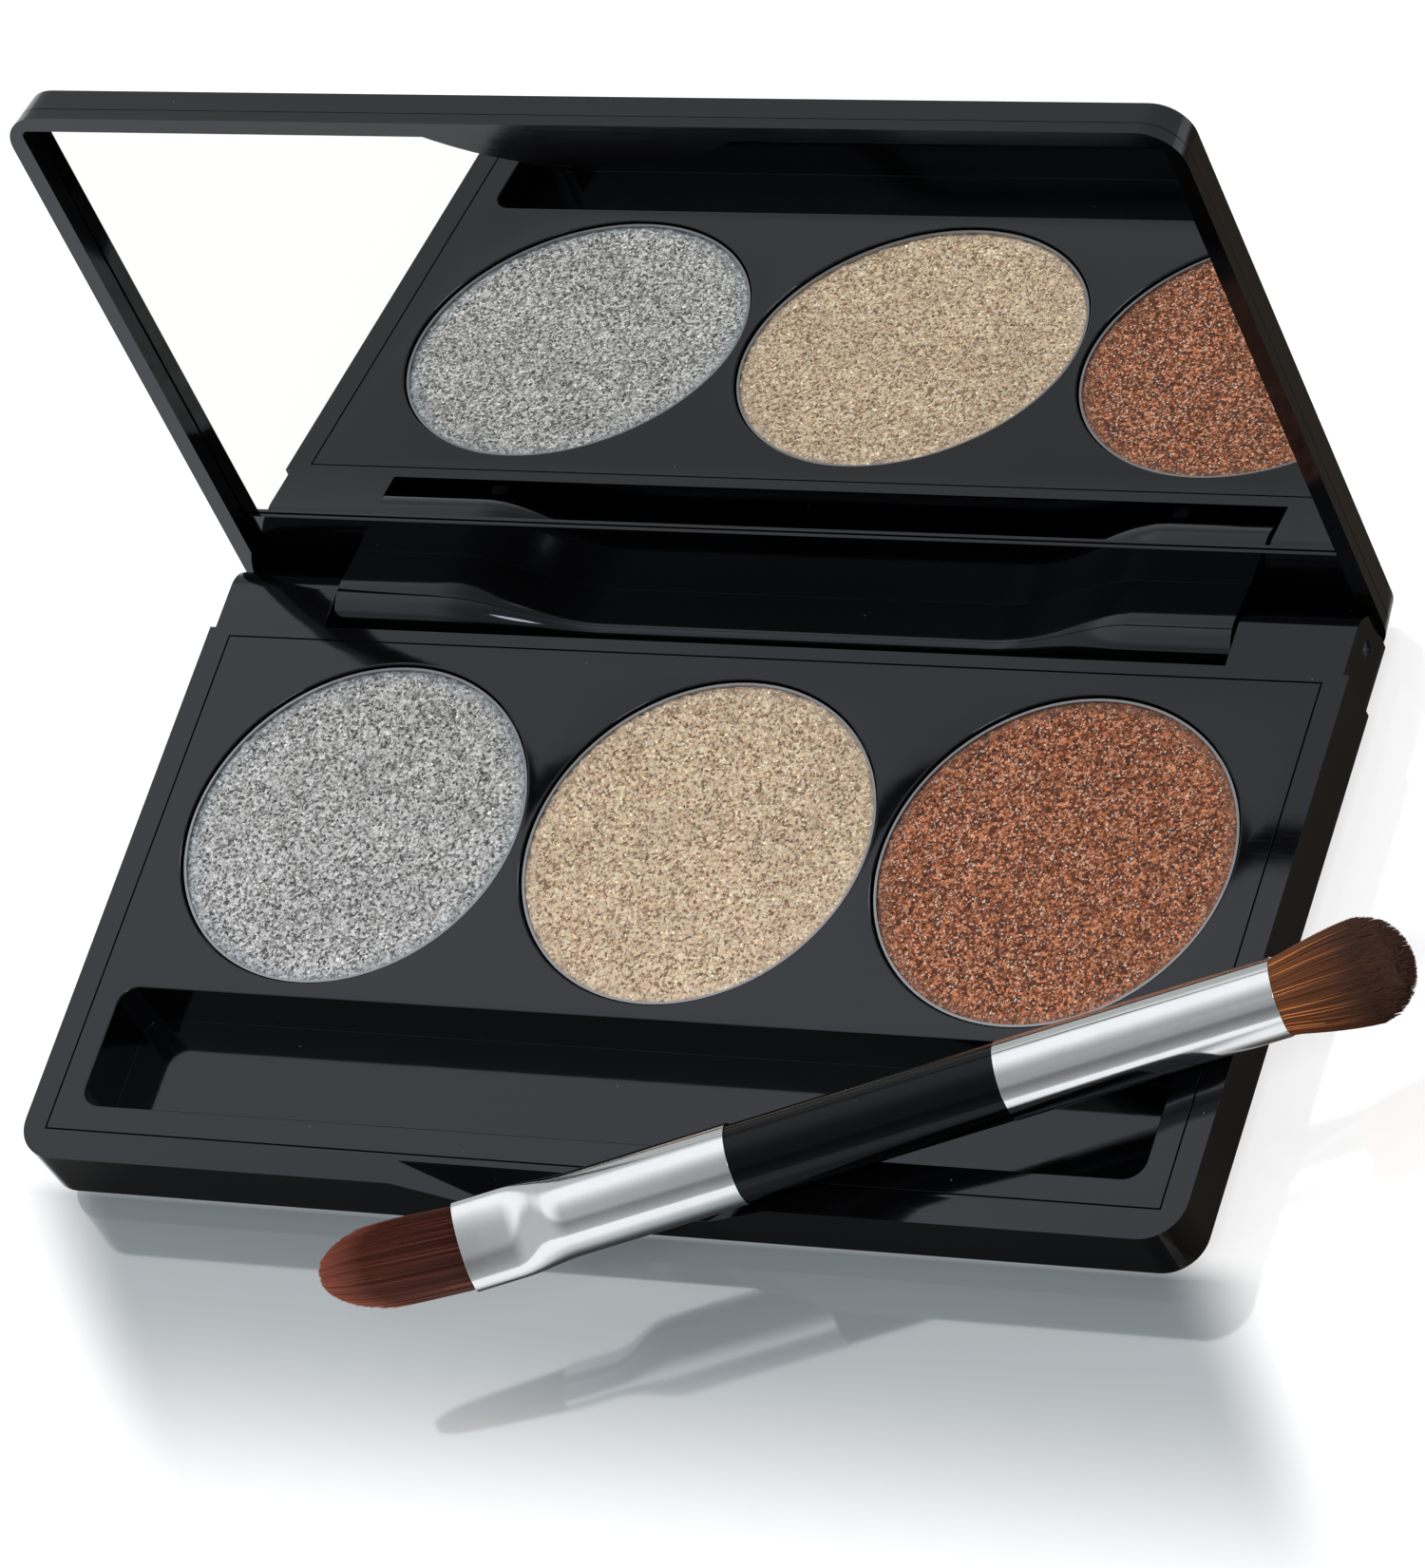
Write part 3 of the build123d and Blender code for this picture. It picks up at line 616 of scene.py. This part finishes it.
def round_tuft():
    """Soft domed head: hairs fan out from the ferrule, and their tips make a dome."""
    tuft = Tuft()
    for _ in range(ROUND_HAIRS):
        angle = random.uniform(0, 2 * pi)
        rho = 1 - random.random() ** 2.2
        fan = 1.0 + random.gauss(0, 0.02)
        length = ROUND_LENGTH
        while length > 5.0 and rho * fan_radius(length) > round_outline(length):
            length -= 0.05
        length *= 1 - 0.035 * random.random() ** 2
        bend = random.gauss(0, 0.11)
        path = []
        for index in range(STATIONS):
            f = index / (STATIONS - 1)
            x = -ROOT_DEPTH + (length + ROOT_DEPTH) * f
            r = rho * fan * fan_radius(x)
            side = bend * f * f
            y = r * cos(angle) - side * sin(angle)
            z = r * sin(angle) + side * cos(angle)
            path.append(brush_point(ROUND_MOUTH + x, y, z))
        tuft.hair(path, *ROUND_HAIR_RADII, random.random())
    rings = []
    for index in range(CORE_RINGS):
        x = -1.0 + (ROUND_LENGTH - 0.1) * index / (CORE_RINGS - 1)
        r = 0.86 * round_outline(x / 0.94) + 0.02
        rings.append([brush_point(ROUND_MOUTH + x, r * cos(a), r * sin(a))
                      for a in reversed(CORE_ANGLES)])
    tuft.core(rings)
    return tuft.build("round_hairs", "brush", "natural_bristle", "round_bristles")


def hair_material(name, root, middle, tip, streak, amount, rough):
    """Each hair has its own shade, and the colour changes towards the tip."""
    skin = Material(name)
    shade = skin.add("Attribute", output="Fac", attribute_name="shade")
    along = skin.add("Attribute", output="Fac", attribute_name="along")
    length = skin.ramp(along, (0.1, root), (0.72, middle), (1.0, tip))
    streaked = skin.mix(skin.math("MULTIPLY", skin.math("GREATER_THAN", shade, 1 - amount),
                                  skin.span(along, 0.9, 0.3)), length, streak)
    tone = skin.ramp(shade, (0.0, (0.62, 0.62, 0.62)), (0.9, (1.3, 1.3, 1.3)))
    dimmed = skin.mix(1.0, streaked, tone, "MULTIPLY")
    return skin.finish(Base_Color=dimmed, Roughness=skin.span(shade, 0, 1, rough, rough + 0.15),
                       Specular_IOR_Level=0.3)


# ---------------------------------------------------------------- build everything
SMOOTH_ANGLE = radians(30)
BEVEL_ANGLE = radians(34)


def smoothing_group():
    """Modifier nodes: join split points, drop stored normals, shade smooth between shallow angles."""
    group = bpy.data.node_groups.new("smooth_by_angle", "GeometryNodeTree")
    group.interface.new_socket("Geometry", in_out="INPUT", socket_type="NodeSocketGeometry")
    group.interface.new_socket("Geometry", in_out="OUTPUT", socket_type="NodeSocketGeometry")

    def add(kind, **settings):
        node = group.nodes.new(kind)
        for key, value in settings.items():
            setattr(node, key, value)
        return node
    start, end = add("NodeGroupInput"), add("NodeGroupOutput")
    merge = add("GeometryNodeMergeByDistance")
    merge.inputs["Distance"].default_value = 1e-6
    drop = add("GeometryNodeRemoveAttribute")
    drop.inputs["Name"].default_value = "custom_normal"
    faces = add("GeometryNodeSetShadeSmooth", domain="FACE")
    edges = add("GeometryNodeSetShadeSmooth", domain="EDGE")
    angle = add("GeometryNodeInputMeshEdgeAngle")
    shallow = add("FunctionNodeCompare", data_type="FLOAT", operation="LESS_THAN")
    shallow.inputs["B"].default_value = SMOOTH_ANGLE
    link = group.links.new
    link(start.outputs[0], merge.inputs["Geometry"])
    link(merge.outputs[0], drop.inputs["Geometry"])
    link(drop.outputs[0], faces.inputs["Geometry"])
    link(faces.outputs[0], edges.inputs["Geometry"])
    link(angle.outputs["Unsigned Angle"], shallow.inputs["A"])
    link(shallow.outputs[0], edges.inputs["Shade Smooth"])
    link(edges.outputs[0], end.inputs[0])
    return group


SMOOTHING = smoothing_group()


def soften_edges(node, width):
    """Smooth shading and a small moulded radius on the sharp edges of a CAD node, by modifiers."""
    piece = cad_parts[node]
    piece.modifiers.new("smooth_by_angle", "NODES").node_group = SMOOTHING
    bevel = piece.modifiers.new("edge_radius", "BEVEL")
    bevel.width, bevel.segments, bevel.limit_method = width * MM, 2, "ANGLE"
    bevel.angle_limit = BEVEL_ANGLE
    bevel.harden_normals = True
    bevel.miter_outer = "MITER_ARC"


def paint(material, *nodes):
    for node in nodes:
        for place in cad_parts[node].material_slots:
            place.material = material


build_floor()
build_sky(build_camera())
area_light("key", position=(0.28, -0.46, 0.98), target=(0, 0, 0), size=(0.25, 0.25), power=2.4)

paint(gloss_black("casing_gloss", (0.0018, 0.0018, 0.0022)), "base_shell", "lid_cover")
paint(gloss_black("insert_gloss", (0.0016, 0.0018, 0.0024)), "insert_plate")
paint(gloss_black("frame_gloss", (0.0014, 0.0014, 0.0018)), "lid_frame")
paint(gloss_black("handle_lacquer", (0.0010, 0.0010, 0.0012), ior=1.3), "brush_handle")
paint(metal("pan_metal", (0.34, 0.35, 0.37), 0.3, (1, 1, 0.1)),
      "pan_silver", "pan_champagne", "pan_bronze")
paint(metal("ferrule_plating", (0.80, 0.825, 0.84), 0.09, (1, 1, 1), marks=0.05),
      "ferrule_flat", "ferrule_round")
paint(metal("pin_wire", (0.6, 0.6, 0.62), 0.3, (0.05, 1, 1)), "hinge_pin_left", "hinge_pin_right")
paint(mirror_glass(), "mirror")
paint(soft_fill("adhesive", (0.85, 0.84, 0.8)),
      "pan_glue_silver", "pan_glue_champagne", "pan_glue_bronze")
paint(soft_fill("foam", (0.9, 0.9, 0.88), rough=0.85), "mirror_pad")
paint(soft_fill("set_resin", (0.75, 0.62, 0.35), rough=0.35, grain=1.2),
      "bristle_glue_flat", "bristle_glue_round")

POWDERS = {
    "powder_silver": dict(
        dark=(0.05, 0.05, 0.05), middle=(0.53, 0.53, 0.52), light=(1.0, 1.0, 1.0),
        edge=(0.40, 0.46, 0.54), sparkle=(1.0, 1.0, 1.0)),
    "powder_champagne": dict(
        dark=(0.24, 0.14, 0.08), middle=(0.97, 0.68, 0.46), light=(1.0, 0.90, 0.66),
        edge=(0.80, 0.64, 0.50), sparkle=(1.0, 0.97, 0.86)),
    "powder_bronze": dict(
        dark=(0.05, 0.012, 0.004), middle=(0.31, 0.080, 0.028), light=(0.95, 0.40, 0.21),
        edge=(0.30, 0.16, 0.11), sparkle=(1.0, 0.80, 0.66)),
}
for seed, (node, look) in enumerate(POWDERS.items()):
    weave = CHAMPAGNE_WEAVE if node == "powder_champagne" else 0.0
    cake = powder_cake(node, weave, seed + 1)
    cake.data.materials.append(pressed_powder(node + "_glitter", **look))

flat_tuft().data.materials.append(hair_material(
    "flat_hair", root=(0.075, 0.022, 0.014), middle=(0.135, 0.039, 0.025), tip=(0.43, 0.145, 0.093),
    streak=(0.21, 0.070, 0.048), amount=0.12, rough=0.42))
round_tuft().data.materials.append(hair_material(
    "round_hair", root=(0.25, 0.075, 0.018), middle=(0.14, 0.040, 0.011), tip=(0.065, 0.020, 0.008),
    streak=(0.60, 0.22, 0.06), amount=0.18, rough=0.45))

EDGE_RADII = {               # millimetres
    "base_shell": 0.14, "insert_plate": 0.04, "lid_frame": 0.08, "lid_cover": 0.14, "mirror": 0.05,
    "ferrule_flat": 0.03, "ferrule_round": 0.03, "brush_handle": 0.08,
    "pan_silver": 0.05, "pan_champagne": 0.05, "pan_bronze": 0.05}
for node, width in EDGE_RADII.items():
    soften_edges(node, width)

bpy.context.scene.view_settings.view_transform = "Standard"

bpy.context.view_layer.update()
